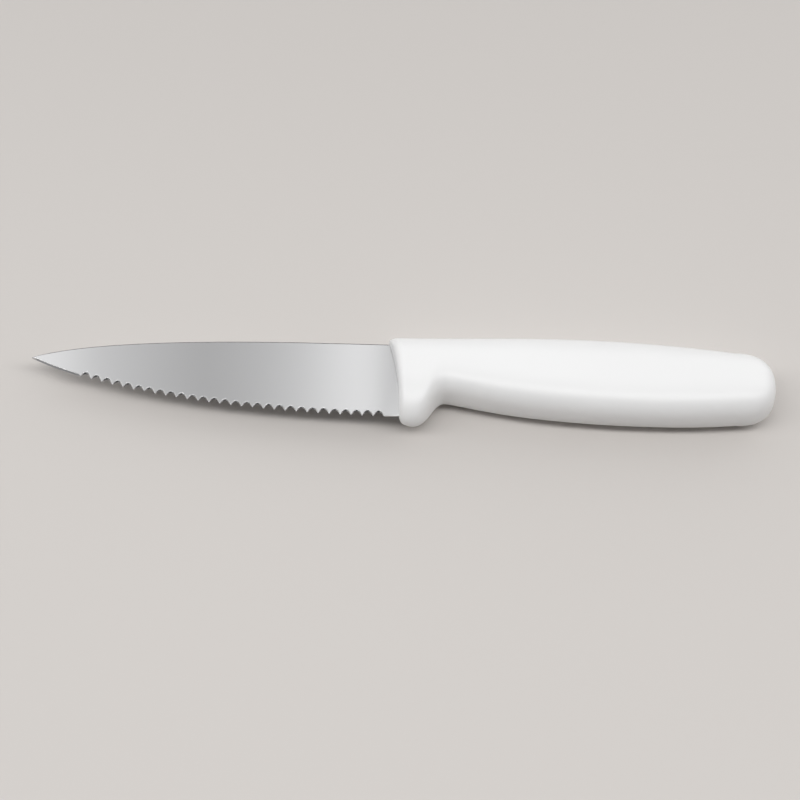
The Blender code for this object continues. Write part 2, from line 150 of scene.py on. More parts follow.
BUTT_PLAN_POWER = 2.4             # how square the butt is, seen from above and from the side
BUTT_SIDE_POWER = 3.4
MID_FRONT_DEPTH = 10.6 * MM       # middle of the flat strips at the front and the butt
MID_BUTT_DEPTH = 11.9 * MM
BACK_POWER = 2.1                  # how square the shoulders above the flat strips are
GUARD_POWER = 1.8                 # the same below the strips, from the guard to the belly
NOTCH_POWER = 2.8
BELLY_POWER = 2.5
BELLY_ROUND = 9.0 * MM            # how far the rounding to the belly reaches up, in the grip
FLAT_EASE = 1.2 * MM              # how gently the flat strips narrow there
PARTING_WIDTH = 0.16 * MM         # the mould's parting line round the handle's middle plane
PARTING_DEPTH = 0.03 * MM

# Mesh
CURVE_SAMPLES = 400
PLAIN_SEGMENTS = 20               # more would fold the rim over itself at the tip
SCALLOP_SEGMENTS = 22
CORNER_SEGMENTS = 10
HOLE_SEGMENTS = 48
ROUND_STEPS = 6
WALL_STEPS = 6
UNDER_STEPS = 4
QUARTER_SEGMENTS = 22
FRONT_RINGS = 12
BODY_RINGS = (10, 40, 44, 34)
BUTT_RINGS = 26
SMOOTH_ANGLE = math.radians(32)

# Materials: a noise has its scale, its stretch per axis, its detail and its roughness
EVEN = (1.0, 1.0, 1.0)
NOISE_SPAN = (0.3, 0.7)           # what most of a noise lies between
GRIND_LINES = (1.0, (5200.0, 60.0, 5200.0), 4.0, 0.6)
GRIND_BUMP = (0.05, 0.02 * MM)    # strength and distance
STEEL_CLOUD = (60.0, EVEN, 3.0, 0.5)
STEEL_COLOR = (0.60, 0.60, 0.605, 1.0)
STEEL_ROUGHNESS = (0.16, 0.19)    # along the grind lines
STEEL_UNEVEN = (-0.01, 0.01)      # what the cloud adds to it
PLASTIC_CLOUD = (90.0, EVEN, 4.0, 0.5)
PLASTIC_GRAIN = (2600.0, EVEN, 2.0, 0.5)
PLASTIC_BUMP = (0.15, 0.03 * MM)
PLASTIC_COLOR = (0.86, 0.86, 0.86, 1.0)
PLASTIC_ROUGHNESS = (0.34, 0.42)

# Picture, in metres where no unit is named
VIEW_ELEVATION = math.radians(55.0)
VIEW_AZIMUTH = math.radians(1.9)
VIEW_FIELD = math.radians(22.0)
VIEW_DISTANCE = 568.0 * MM
VIEW_TARGET = (0.0, -6.516 * MM, 7.5 * MM)
VIEW_CLIP = 0.01
SENSOR = 36.0
FLOOR_HALF = 4.0
FLOOR_COLOR = (0.60, 0.57, 0.545, 1.0)
FLOOR_ROUGHNESS = 0.7
SKY_COLOR = (1.0, 1.0, 1.0, 1.0)
SKY_STRENGTH = (1.45, 0.25)       # at the horizon and overhead
SKY_LIFTS = (((-1.0, 0.0), (-1.0, 0.0)), ((0.0, 1.0), (0.0, 0.06)))   # added to the height, by y
SKY_RISE = (0.08, 0.22)           # the lifted heights between which the light grows
SKY_SHARE = (0.03, 1.0)           # from and to these shares of its strength
SKY_SEEN = (0.86, 0.85, 0.84, 1.0)      # what the camera and gloss see in its place
LAMP_PLACE = (-0.05, -0.24, 0.975)
LAMP_TARGET = (-0.05, 0.0, 0.0)
LAMP_SIZE = (3.0, 0.22)
LAMP_POWER = 11.9
CARD_TARGET = (-0.055, 0.0, 7.5 * MM)
CARD_ELEVATION = math.radians(56.8)
CARD_DISTANCE = 0.12
CARD_SIZE = (0.23, 0.09)
CARD_GLOW = (                     # a glow is given as places along its axis and strengths
    (0.20, 1.3), (0.262, 0.48), (0.302, 1.13), (0.322, 1.3), (0.36, 1.17), (0.417, 0.91),
    (0.48, 0.74), (0.562, 0.62), (0.635, 0.74), (0.72, 0.88), (0.79, 1.24),
)
RIM_CARD = ((-1.2, 1.2), (-0.32, -0.15), 0.6)     # its span in x and in y, and its height
RIM_GLOW = 1.9
WING_CARD = (0.6, (0.2, 1.0), (0.12, 1.1))        # its distance in x, and its span in y and in z
WING_GLOW = 1.25
RING_RADIUS = 0.5
RING_SEGMENTS = 64
# Elevations of the rings' borders in degrees, by the sine of the place round the ring
GROUND_RISES = ((-1.0, 0.0), (1.0, 0.0))
LOW_RISES = ((-1.0, 33.0), (0.0, 20.0), (0.6, 6.0), (1.0, 6.0))
HIGH_RISES = ((-1.0, 60.0), (0.0, 35.0), (0.6, 12.0), (1.0, 34.0))
LOW_GLOW = ((0.0, 0.45), (0.35, 0.21), (1.0, 0.18))
HIGH_GLOW = ((0.0, 0.25), (0.35, 0.03), (1.0, 0.02))

SETBACK = FRONT_ARC_RADIUS - math.sqrt(FRONT_ARC_RADIUS ** 2 - FRONT_ARC_DEPTH ** 2)
TIP = (-BLADE_LENGTH, -TIP_DROP)
GRIND_END = SETBACK + GRIND_MARGIN
SHEET_START = GRIND_END + GRIND_RUN_OUT
SHOULDER_X = SHEET_START + SHOULDER_LAND
TANG_END = HANDLE_LENGTH - TANG_BUTT_COVER
GUARD_X = SETBACK + GUARD_REACH
NOTCH_X = GUARD_X + NOTCH_REACH
BELLY_X = HANDLE_LENGTH - BELLY_TO_END
BUTT_X = HANDLE_LENGTH - BUTT_LENGTH


def frame_place():
    """Where the knife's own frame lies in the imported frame."""
    blade_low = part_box("blade")[0]
    handle_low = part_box("handle")[0]
    return Vector((blade_low.x + BLADE_LENGTH, handle_low.y + GUARD_DEPTH,
                   handle_low.z + HANDLE_THICKNESS / 2))


PLACE = frame_place()


# Curves

def bezier(start, start_pull, end_pull, end, count):
    """Points along a cubic curve, both ends included."""
    t = np.linspace(0.0, 1.0, count + 1)[:, None]
    s = 1.0 - t
    start, start_pull, end_pull, end = map(np.array, (start, start_pull, end_pull, end))
    return s ** 3 * start + 3 * s * s * t * start_pull + 3 * s * t * t * end_pull + t ** 3 * end


def polar(point, length, angle):
    return (point[0] + length * math.cos(angle), point[1] + length * math.sin(angle))


def profile(knots):
    """The height of a curve through knots of x, y, slope, hold before and hold after."""
    spans = []
    for (ax, ay, a_slope, _, a_hold), (bx, by, b_slope, b_hold, _) in zip(knots, knots[1:]):
        a_pull = a_hold * (bx - ax)
        b_pull = b_hold * (bx - ax)
        spans.append(bezier((ax, ay), (ax + a_pull, ay + a_slope * a_pull),
                            (bx - b_pull, by - b_slope * b_pull), (bx, by), CURVE_SAMPLES))
    points = np.vstack(spans)
    return lambda x: float(np.interp(x, points[:, 0], points[:, 1]))


def clamp(value):
    return min(max(value, 0.0), 1.0)


# Blade outline

def spine_line():
    """The spine as a function of x."""
    start = (-SPINE_STRAIGHT, 0.0)
    length = start[0] - TIP[0]
    points = bezier(TIP, polar(TIP, SPINE_TIP_HOLD * length, SPINE_TIP_ANGLE),
                    (start[0] - SPINE_START_HOLD * length, 0.0), start, CURVE_SAMPLES)
    return lambda x: float(np.interp(x, points[:, 0], points[:, 1]))


def edge_line():
    """The line that the tooth tips stand on, as a function of x."""
    heel = (SETBACK, -BLADE_HEIGHT)
    length = heel[0] - TIP[0]
    points = bezier(TIP, polar(TIP, EDGE_TIP_HOLD * length, -EDGE_TIP_ANGLE),
                    (heel[0] - EDGE_HEEL_HOLD * length, heel[1]), heel, CURVE_SAMPLES)
    return lambda x: float(np.interp(x, points[:, 0], points[:, 1]))


def edge_places():
    """From the tip to the grind's end: x, the tooth line's y and the share of a scallop's depth."""
    line = edge_line()
    last = -HEEL_PLAIN
    count = int((last + BLADE_LENGTH - TIP_PLAIN) / SCALLOP_PITCH)
    first = last - count * SCALLOP_PITCH
    stray = random.Random(SCALLOP_SEED)
    places = [(x, 0.0) for x in np.linspace(TIP[0], first, PLAIN_SEGMENTS + 1)]
    for index in range(count):
        middle = first + (index + 0.5) * SCALLOP_PITCH + stray.uniform(-1, 1) * SCALLOP_STRAY
        half = SCALLOP_WIDTH / 2 * (1 + stray.uniform(-1, 1) * SCALLOP_UNEVEN)
        depth = 1 - stray.uniform(0, 2) * SCALLOP_UNEVEN
        for across in np.linspace(-1.0, 1.0, SCALLOP_SEGMENTS + 1):
            places.append((middle + half * across, depth * (1.0 - abs(across) ** SCALLOP_POWER)))
    return [(x, line(x), share) for x, share in places] + [
        (GRIND_END - RIM_LAND, -BLADE_HEIGHT, 0.0), (GRIND_END, -BLADE_HEIGHT, 0.0)]


def grown_corner(before, corner, after, fillet, grow):
    """The arc that rounds a corner of a counter-clockwise outline grown by a distance."""
    def side_of(a, b):
        along = np.subtract(b, a)
        along = along / np.linalg.norm(along)
        return np.add(a, (along[1] * grow, -along[0] * grow)), along

    a, along_a = side_of(before, corner)
    b, along_b = side_of(corner, after)
    turn = math.atan2(along_a[0] * along_b[1] - along_a[1] * along_b[0], float(along_a @ along_b))
    meet = a + along_a * np.linalg.solve(np.column_stack((along_a, -along_b)), b - a)[0]
    radius = fillet + grow if turn > 0 else fillet - grow
    start = meet - along_a * radius * math.tan(abs(turn) / 2)
    centre = start + math.copysign(radius, turn) * np.array((-along_a[1], along_a[0]))
    arm = start - centre
    angles = np.linspace(0.0, turn, CORNER_SEGMENTS + 1)
    return [(centre[0] + math.cos(t) * arm[0] - math.sin(t) * arm[1],
             centre[1] + math.sin(t) * arm[0] + math.cos(t) * arm[1]) for t in angles]


def tang_points(grow):
    """Heel shoulder, tang and spine shoulder, counter-clockwise, grown by a distance."""
    path = [
        (SHEET_START, -BLADE_HEIGHT),
        (SHOULDER_X, -BLADE_HEIGHT),
        (SHOULDER_X, TANG_NOTCH_COVER - TANG_NOTCH_DEPTH),
        (TANG_END, -TANG_END_DEPTH - TANG_END_HEIGHT / 2),
        (TANG_END, -TANG_END_DEPTH + TANG_END_HEIGHT / 2),
        (SHOULDER_X, -TANG_SPINE_STEP),
        (SHOULDER_X, 0.0),
        (SHEET_START, 0.0),
    ]
    fillets = [SHOULDER_FILLET, TANG_ROOT_FILLET, TANG_END_FILLET]
    points = []
    for index, fillet in enumerate(fillets + fillets[::-1]):
        points += grown_corner(*path[index:index + 3], fillet, grow)
    return points


def hole_places():
    first = SHOULDER_X + TANG_HOLE_INSET
    last = TANG_END - TANG_HOLE_INSET
    ends = [(-TANG_SPINE_STEP + TANG_NOTCH_COVER - TANG_NOTCH_DEPTH) / 2, -TANG_END_DEPTH]
    return [(x, float(np.interp(x, (SHOULDER_X, TANG_END), ends)))
            for x in np.linspace(first, last, TANG_HOLES)]


def half_thickness(x, y):
    """Half the blade's thickness: a flat grind from spine to edge and tip, then the full sheet."""
    sheet = SHEET_THICKNESS / 2
    across = (sheet - EDGE_THICKNESS / 2) / BLADE_HEIGHT
    along = (sheet - TIP_THICKNESS / 2 - across * TIP_DROP) / BLADE_LENGTH
    ground = sheet + across * y + along * np.minimum(x, GRIND_END)
    run_out = np.clip((x - GRIND_END) / GRIND_RUN_OUT, 0.0, 1.0)
    return ground + (sheet - ground) * run_out


# Mesh helpers

def inset(outline, distances):
    """A counter-clockwise outline with each corner moved inward by its own distance."""
    def left(sides):
        sides = sides / np.linalg.norm(sides, axis=1)[:, None]
        return np.column_stack((-sides[:, 1], sides[:, 0]))

    a = left(outline - np.roll(outline, 1, axis=0))
    b = left(np.roll(outline, -1, axis=0) - outline)
    miter = (a + b) / (1.0 + (a * b).sum(axis=1))[:, None]
    return outline + miter * np.asarray(distances)[:, None]


def new_object(name, bm):
    mesh = bpy.data.meshes.new(name)
    bm.to_mesh(mesh)
    bm.free()
    obj = bpy.data.objects.new(name, mesh)
    bpy.context.scene.collection.objects.link(obj)
    return obj


def skin(rings):
    """A mesh of quads between rings of as many points, open at both ends."""
    bm = bmesh.new()
    rows = [[bm.verts.new(point) for point in ring] for ring in rings]
    count = len(rows[0])
    for row, following in zip(rows, rows[1:]):
        for i in range(count):
            j = (i + 1) % count
            bm.faces.new((row[i], row[j], following[j], following[i])).smooth = True
    return bm, rows


def close(bm, row, outline):
    """Close a ring: strips from spine to edge, the slope behind the grind, and the tang's side."""
    breaks = [i for i, (x, _) in enumerate(outline) if x in (GRIND_END, SHEET_START)]
    grind_low, sheet_low, sheet_high, grind_high = breaks
    ground = row[grind_high:] + row[:grind_low + 1]
    for i in range((len(ground) - 1) // 2):
        corners = (ground[i], ground[i + 1], ground[-2 - i], ground[-1 - i])
        bm.faces.new(dict.fromkeys(corners))
    bm.faces.new((row[grind_low], row[sheet_low], row[sheet_high], row[grind_high]))
    bm.faces.new(row[sheet_low:sheet_high + 1])


def post(radius, place):
    """An upright cylinder at a place in plan."""
    bm = bmesh.new()
    bmesh.ops.create_cone(bm, cap_ends=True, segments=HOLE_SEGMENTS, radius1=radius, radius2=radius,
                          depth=4 * SHEET_THICKNESS)
    bmesh.ops.translate(bm, verts=bm.verts, vec=(place[0], place[1], 0.0))
    return new_object("post", bm)


def cut(body, tools):
    """Take solids out of a body for good."""
    for tool in tools:
        modifier = body.modifiers.new("cut", "BOOLEAN")
        modifier.operation = "DIFFERENCE"
        modifier.solver = "EXACT"
        modifier.object = tool
    graph = bpy.context.evaluated_depsgraph_get()
    mesh = bpy.data.meshes.new_from_object(body.evaluated_get(graph))
    body.modifiers.clear()
    body.data = mesh
    for tool in tools:
        bpy.data.objects.remove(tool, do_unlink=True)


def seat(piece, node, materials):
    """Put a piece where its node lies and let it stand for that node."""
    piece.data.name = piece.name
    piece.data.materials.clear()
    for material in materials:
        piece.data.materials.append(material)
    piece.location = PLACE
    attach(piece, "root")
    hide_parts(node)


# Blade

def blade_outlines():
    """Lower and upper rims, the share of a scallop at each place, and the rims' roundings."""
    places = edge_places()
    tang = [(SHEET_START, -BLADE_HEIGHT)] + tang_points(0.0) + [(SHEET_START, 0.0)]
    spine = spine_line()
    back = [(GRIND_END, 0.0)] + [(x, spine(x)) for x, _, _ in places[-2:0:-1]]
    lower, upper, shares, rim, drop, under = [], [], [], [], [], []
    first_scallop = places[PLAIN_SEGMENTS][0]
    for x, y, share in places:
        toothed = -HEEL_PLAIN > x > TIP_PLAIN - BLADE_LENGTH
        spread = clamp(share / RIM_SPREAD) if toothed else 1.0
        if x < first_scallop:
            bevel = PLAIN_BEVEL * clamp((x + BLADE_LENGTH) / PLAIN_RUN_IN)
            full = PLAIN_RIM
        else:
            bevel = TOOTH_BEVEL + (BEVEL_WIDTH - TOOTH_BEVEL) * spread
            full = RIM_WIDTH
        lower.append((x, y + SCALLOP_DEPTH * share))
        wall = 2 * half_thickness(x, y) - RIM_DROP
        flare = max(SCALLOP_SPREAD * wall - BEVEL_WIDTH, 0.0)
        upper.append((x, y + bevel + (SCALLOP_DEPTH + flare) * share))
        shares.append(share)
        rim.append(TOOTH_RIM + (full - TOOTH_RIM) * spread)
        drop.append(RIM_DROP)
        under.append(UNDER_BREAK)
    for index, (x, y) in enumerate(tang + back):
        run_in = clamp((x + BLADE_LENGTH) / SPINE_RUN_IN)
        wide = TIP_ROUND + (SPINE_ROUND - TIP_ROUND) * run_in
        deep = TIP_ROUND_DROP + (SPINE_DROP - TIP_ROUND_DROP) * run_in
        if index < len(tang):
            wide = deep = TANG_BREAK
        lower.append((x, y))
        upper.append((x, y))
        shares.append(0.0)
        rim.append(wide)
        drop.append(deep)
        under.append(deep)
    return [np.array(values) for values in (lower, upper, shares, rim, drop, under)]


def blade_rings(lower, upper, shares, rim, drop, under):
    """Rings from the upper face's border down the wall to the under face's border."""
    land = inset(upper, rim + RIM_LAND)
    rings = [np.column_stack((land, half_thickness(land[:, 0], land[:, 1])))]
    for step in range(ROUND_STEPS + 1):
        angle = math.pi / 2 * step / ROUND_STEPS
        flat = inset(upper, rim * (1.0 - math.sin(angle)))
        z = half_thickness(flat[:, 0], flat[:, 1]) - drop * (1.0 - math.cos(angle))
        rings.append(np.column_stack((flat, z)))
    high = rings[-1]
    low_z = -half_thickness(lower[:, 0], lower[:, 1]) + under
    low = np.column_stack((lower, low_z))
    bend = 1.0 + SCALLOP_HOLLOW * shares
    for step in range(1, WALL_STEPS):
        down = step / WALL_STEPS
        out = down ** bend
        fall = 1.0 - (1.0 - down) ** bend
        ring = high + (low - high) * np.column_stack((out, out, fall))
        rings.append(ring)
    for step in range(UNDER_STEPS + 1):
        angle = math.pi / 2 * step / UNDER_STEPS
        flat = inset(lower, under * (1.0 - math.cos(angle)))
        z = -half_thickness(flat[:, 0], flat[:, 1]) + under * (1.0 - math.sin(angle))
        rings.append(np.column_stack((flat, z)))
    land = inset(lower, under + RIM_LAND)
    rings.append(np.column_stack((land, -half_thickness(land[:, 0], land[:, 1]))))
    return rings


def make_blade():
    """The steel: ground faces, rounded spine, buffed rims and hollow scallop walls."""
    outlines = blade_outlines()
    bm, rows = skin(blade_rings(*outlines))
    for row in (rows[0], rows[-1]):
        close(bm, row, outlines[0])
    bmesh.ops.recalc_face_normals(bm, faces=bm.faces)
    blade = new_object("ground_blade", bm)
    cut(blade, [post(TANG_HOLE_RADIUS, place) for place in hole_places()])
    blade.data.set_sharp_from_angle(angle=SMOOTH_ANGLE)
    return blade


# Handle

def handle_curves():
    """Heights of the handle's back, belly and middle line, as functions of x."""
    back = profile([
        (0.0, FRONT_HEIGHT, 0.0, 0.0, EVEN_HOLD),
        (CREST_X, CREST_HEIGHT, 0.0, EVEN_HOLD, EVEN_HOLD),
        (BUTT_X, -BUTT_TOP_DEPTH, BUTT_TOP_SLOPE, EVEN_HOLD, 0.0),
    ])
    belly = profile([
        (GUARD_X, -GUARD_DEPTH, 0.0, 0.0, GUARD_HOLD),
        (NOTCH_X, -NOTCH_DEPTH, 0.0, NOTCH_FRONT_HOLD, NOTCH_REAR_HOLD),
        (BELLY_X, -BELLY_DEPTH, 0.0, BELLY_FRONT_HOLD, EVEN_HOLD),
        (BUTT_X, -BUTT_BELLY_DEPTH, BUTT_BELLY_SLOPE, EVEN_HOLD, 0.0),
    ])
    middle = profile([
        (0.0, -MID_FRONT_DEPTH, 0.0, 0.0, EVEN_HOLD),
        (BUTT_X, -MID_BUTT_DEPTH, 0.0, EVEN_HOLD, 0.0),
    ])
    return back, belly, middle


def eased(a, b, ease):
    """The larger of two values, or the smaller where ease is negative, blended where they meet."""
    return (a + b + math.copysign(math.hypot(a - b, ease), ease)) / 2


def guard_lift(x):
    """The round corner between the front face and the guard's lowest point."""
    ahead = clamp((GUARD_X - x) / GUARD_REACH)
    return GUARD_CORNER * (1.0 - math.sqrt(1.0 - ahead ** 2))


def quarter(power):
    """A quarter of a squared-off ellipse with a fine step beside its start, as pairs."""
    fine = PARTING_WIDTH / HANDLE_THICKNESS
    angles = [0.0, fine, 2 * fine] + list(np.linspace(0.0, math.pi / 2, QUARTER_SEGMENTS + 1)[1:])
    return [(max(math.cos(a), 0.0) ** (2 / power), math.sin(a) ** (2 / power)) for a in angles]


def section(top, flat_top, flat_bottom, bottom, half, belly_power):
    """A ring of y and z, from the back over the upper side to the belly and round under."""
    over = [(flat_top + (top - flat_top) * c, half * s) for c, s in quarter(BACK_POWER)]
    down = [(flat_bottom + (bottom - flat_bottom) * c, half * s) for c, s in quarter(belly_power)]
    over[0] = (over[0][0] - PARTING_DEPTH, over[0][1])
    down[0] = (down[0][0] + PARTING_DEPTH, down[0][1])
    side = over + down[::-1]
    return np.array(side + [(y, -z) for y, z in side[-2:0:-1]])


def front_x(y):
    """Where the handle's front face crosses height y: a hollow arc that ends square."""
    above = np.maximum(y + FRONT_ARC_DEPTH, 0.0)
    return SETBACK - FRONT_ARC_RADIUS + np.sqrt(FRONT_ARC_RADIUS ** 2 - above ** 2)


def front_round(y):
    """Radius from the front face to the sides at height y."""
    share = np.clip((y + BLADE_HEIGHT) / BLADE_HEIGHT, 0.0, 1.0)
    return FRONT_ROUND_GUARD + (FRONT_ROUND_SPINE - FRONT_ROUND_GUARD) * share


def handle_rings():
    """All rings of the handle from its front face to its butt."""
    back, belly, middle = handle_curves()
    half = HANDLE_THICKNESS / 2

    def body_ring(x, around):
        """A ring at x; around is how far the front's rounding has turned, 1 when it is done."""
        angle = math.pi / 2 * around
        turned = math.sin(angle) ** (2 / FRONT_POWER)
        behind = 1.0 - max(math.cos(angle), 0.0) ** (2 / FRONT_POWER)
        lip = FRONT_LIP * (1.0 - turned)
        toward_grip = clamp((x - SETBACK) / (NOTCH_X - SETBACK))
        toward_crest = clamp((x - NOTCH_X) / (CREST_X - NOTCH_X))
        power = GUARD_POWER + (NOTCH_POWER - GUARD_POWER) * toward_grip
        power += (BELLY_POWER - NOTCH_POWER) * toward_crest
        bottom = belly(max(x, GUARD_X)) + guard_lift(x)
        flat_top = middle(x) + FLAT_WIDTH / 2
        flat_bottom = eased(bottom + BELLY_ROUND, flat_top - FLAT_WIDTH, FLAT_EASE)
        flat_bottom = eased(flat_bottom, flat_top, -FLAT_EASE)
        ring = section(back(x) - lip, flat_top, flat_bottom, bottom + lip, half, power)
        y = ring[:, 0]
        fade = 1.0 - toward_grip ** 2 * (3.0 - 2.0 * toward_grip)
        radius = front_round(y)
        z = ring[:, 1] * (1.0 - radius * (1.0 - turned) / half)
        shift = (front_x(y) - SETBACK + (radius - FRONT_ROUND_GUARD) * behind) * fade
        return np.column_stack((x + shift, y, z))

    rings = []
    for index in range(FRONT_RINGS):
        around = index / FRONT_RINGS
        behind = 1.0 - math.cos(math.pi / 2 * around) ** (2 / FRONT_POWER)
        rings.append(body_ring(SETBACK + FRONT_ROUND_GUARD * behind, around))
    stops = [SETBACK + FRONT_ROUND_GUARD, GUARD_X, NOTCH_X, CREST_X, BUTT_X]
    places = stops[:1]
    for a, b, count in zip(stops, stops[1:], BODY_RINGS):
        places += list(np.linspace(a, b, count + 1)[1:])
    rings += [body_ring(x, 1.0) for x in places]
    last = rings[-1]
    for index in range(1, BUTT_RINGS):
        angle = math.pi / 2 * index / BUTT_RINGS
        along = math.sin(angle) ** (2 / BUTT_PLAN_POWER)
        plan = math.cos(angle) ** (2 / BUTT_PLAN_POWER)
        side = (1.0 - along ** BUTT_SIDE_POWER) ** (1 / BUTT_SIDE_POWER)
        ring = last.copy()
        ring[:, 0] = BUTT_X + BUTT_LENGTH * along
        ring[:, 1] = (last[:, 1] + BUTT_CENTRE_DEPTH) * plan - BUTT_CENTRE_DEPTH
        ring[:, 2] = last[:, 2] * side
        rings.append(ring)
    return rings


def make_pocket():
    """What the steel takes out of the handle, with the plugs through the tang's holes left."""
    mouth = -(FRONT_ROUND_SPINE + SETBACK)
    low = -BLADE_HEIGHT - SLOT_GAP
    outline = [(mouth, low), (GRIND_END, low), (SHEET_START, low)] + tang_points(SLOT_GAP)
    outline += [(SHEET_START, SLOT_GAP), (GRIND_END, SLOT_GAP), (mouth, SLOT_GAP)]
    flat = np.array(outline)
    z = half_thickness(flat[:, 0], flat[:, 1]) + SLOT_GAP
    bm, rows = skin([np.column_stack((flat, side * z)) for side in (1.0, -1.0)])
    for row in rows:
        close(bm, row, outline)
    bmesh.ops.recalc_face_normals(bm, faces=bm.faces)
    pocket = new_object("pocket", bm)
    cut(pocket, [post(TANG_HOLE_RADIUS - SLOT_GAP, place) for place in hole_places()])
    return pocket


def make_handle():
    """The moulded handle with its slot for the steel."""
    bm, rows = skin(handle_rings())
    front = rows[0]
    count = len(front)
    for i in range(count // 2):
        corners = [front[i], front[(i + 1) % count], front[(count - i - 1) % count],
                   front[(count - i) % count]]
        bm.faces.new(dict.fromkeys(corners)).smooth = True
    centre = bm.verts.new((HANDLE_LENGTH, -BUTT_CENTRE_DEPTH, 0.0))
    for i in range(count):
        bm.faces.new((rows[-1][i], rows[-1][(i + 1) % count], centre)).smooth = True
    bmesh.ops.recalc_face_normals(bm, faces=bm.faces)
    handle = new_object("moulded_handle", bm)
    cut(handle, [make_pocket()])
    handle.data.shade_smooth()
    handle.data.set_sharp_from_angle(angle=SMOOTH_ANGLE)
    return handle


# Materials

class Nodes:
    """A node tree that is filled line by line."""

    def __init__(self, tree):
        self.tree = tree
        self.tree.nodes.clear()

    def add(self, kind, links=(), **settings):
        node = self.tree.nodes.new(kind)
        for key, value in settings.items():
            setattr(node, key, value)
        for name, value in dict(links).items():
            socket = node.inputs[name]
            if isinstance(value, bpy.types.NodeSocket):
                self.tree.links.new(value, socket)
            else:
                socket.default_value = value
        return node


def new_material(name):
    material = bpy.data.materials.new(name)
    material.use_nodes = True
    return material, Nodes(material.node_tree)


def stretched_noise(nodes, scale, stretch, detail, rough):
    """Noise in the piece's own metres, drawn out along the axes by the stretch."""
    place = nodes.add("ShaderNodeTexCoord")
    mapped = nodes.add("ShaderNodeMapping", {"Vector": place.outputs["Object"], "Scale": stretch})
    return nodes.add("ShaderNodeTexNoise", {
        "Vector": mapped.outputs["Vector"], "Scale": scale, "Detail": detail, "Roughness": rough,
    }).outputs["Fac"]


def ranged(nodes, value, low, high, to_low, to_high):
    """A value's way from low to high as one from to_low to to_high, held at both ends."""
    return nodes.add("ShaderNodeMapRange", {
        "Value": value, "From Min": low, "From Max": high, "To Min": to_low, "To Max": to_high,
    }).outputs["Result"]


def bumped(nodes, height, strength, distance):
    return nodes.add("ShaderNodeBump", {
        "Strength": strength, "Distance": distance, "Height": height,
    }).outputs["Normal"]


def steel_material():
    material, nodes = new_material("satin_steel")
    lines = stretched_noise(nodes, *GRIND_LINES)
    cloud = stretched_noise(nodes, *STEEL_CLOUD)
    rough = nodes.add("ShaderNodeMath", {
        0: ranged(nodes, lines, *NOISE_SPAN, *STEEL_ROUGHNESS),
        1: ranged(nodes, cloud, *NOISE_SPAN, *STEEL_UNEVEN),
    }, operation="ADD").outputs["Value"]
    shader = nodes.add("ShaderNodeBsdfPrincipled", {
        "Base Color": STEEL_COLOR, "Metallic": 1.0, "Roughness": rough,
        "Normal": bumped(nodes, lines, *GRIND_BUMP),
    })
    nodes.add("ShaderNodeOutputMaterial", {"Surface": shader.outputs["BSDF"]})
    return material


def plastic_material():
    material, nodes = new_material("white_plastic")
    cloud = stretched_noise(nodes, *PLASTIC_CLOUD)
    grain = stretched_noise(nodes, *PLASTIC_GRAIN)
    shader = nodes.add("ShaderNodeBsdfPrincipled", {
        "Base Color": PLASTIC_COLOR,
        "Roughness": ranged(nodes, cloud, *NOISE_SPAN, *PLASTIC_ROUGHNESS),
        "Normal": bumped(nodes, grain, *PLASTIC_BUMP),
    })
    nodes.add("ShaderNodeOutputMaterial", {"Surface": shader.outputs["BSDF"]})
    return material


# Stage

def make_floor():
    bm = bmesh.new()
    bmesh.ops.create_grid(bm, x_segments=1, y_segments=1, size=FLOOR_HALF)
    floor = new_object("floor", bm)
    material, nodes = new_material("pale_floor")
    shader = nodes.add("ShaderNodeBsdfPrincipled", {
        "Base Color": FLOOR_COLOR, "Roughness": FLOOR_ROUGHNESS,
    })
    nodes.add("ShaderNodeOutputMaterial", {"Surface": shader.outputs["BSDF"]})
    floor.data.materials.append(material)


def make_world():
    """Soft light from overhead and behind, dim in front and low down.

    The camera and gloss see a plain pale surround in its place.
    """
    world = bpy.data.worlds.new("studio")
    bpy.context.scene.world = world
    world.use_nodes = True
    nodes = Nodes(world.node_tree)
    place = nodes.add("ShaderNodeTexCoord")
    parts = nodes.add("ShaderNodeSeparateXYZ", {"Vector": place.outputs["Generated"]})
    height = parts.outputs["Z"]
    for span, lift in SKY_LIFTS:
        height = nodes.add("ShaderNodeMath", {
            0: height, 1: ranged(nodes, parts.outputs["Y"], *span, *lift),
        }, operation="ADD").outputs["Value"]
    strength = nodes.add("ShaderNodeMath", {
        0: ranged(nodes, height, *SKY_RISE, *SKY_SHARE),
        1: ranged(nodes, parts.outputs["Z"], 0.0, 1.0, *SKY_STRENGTH),
    }, operation="MULTIPLY").outputs["Value"]
    light = nodes.add("ShaderNodeBackground", {"Color": SKY_COLOR, "Strength": strength})
    seen = nodes.add("ShaderNodeBackground", {"Color": SKY_SEEN, "Strength": 1.0})
    path = nodes.add("ShaderNodeLightPath")
    shown = path.outputs["Is Camera Ray"]
    for kind in ("Is Glossy Ray", "Is Transmission Ray"):
        shown = nodes.add("ShaderNodeMath", {0: shown, 1: path.outputs[kind]},
                          operation="MAXIMUM").outputs["Value"]
    mix = nodes.add("ShaderNodeMixShader", {0: shown, 1: light.outputs[0], 2: seen.outputs[0]})
    nodes.add("ShaderNodeOutputWorld", {"Surface": mix.outputs[0]})


def aim(obj, place, target):
    obj.location = place
    obj.rotation_mode = "QUATERNION"
    obj.rotation_quaternion = (Vector(target) - Vector(place)).to_track_quat("-Z", "Y")


def make_lamp():
    """A long, narrow soft lamp overhead, a little in front of the knife."""
    data = bpy.data.lights.new("overhead", "AREA")
    data.shape = "RECTANGLE"
    data.size, data.size_y = LAMP_SIZE
    data.energy = LAMP_POWER
    lamp = bpy.data.objects.new("overhead", data)
    bpy.context.scene.collection.objects.link(lamp)
    aim(lamp, LAMP_PLACE, LAMP_TARGET)
    lamp.visible_camera = False


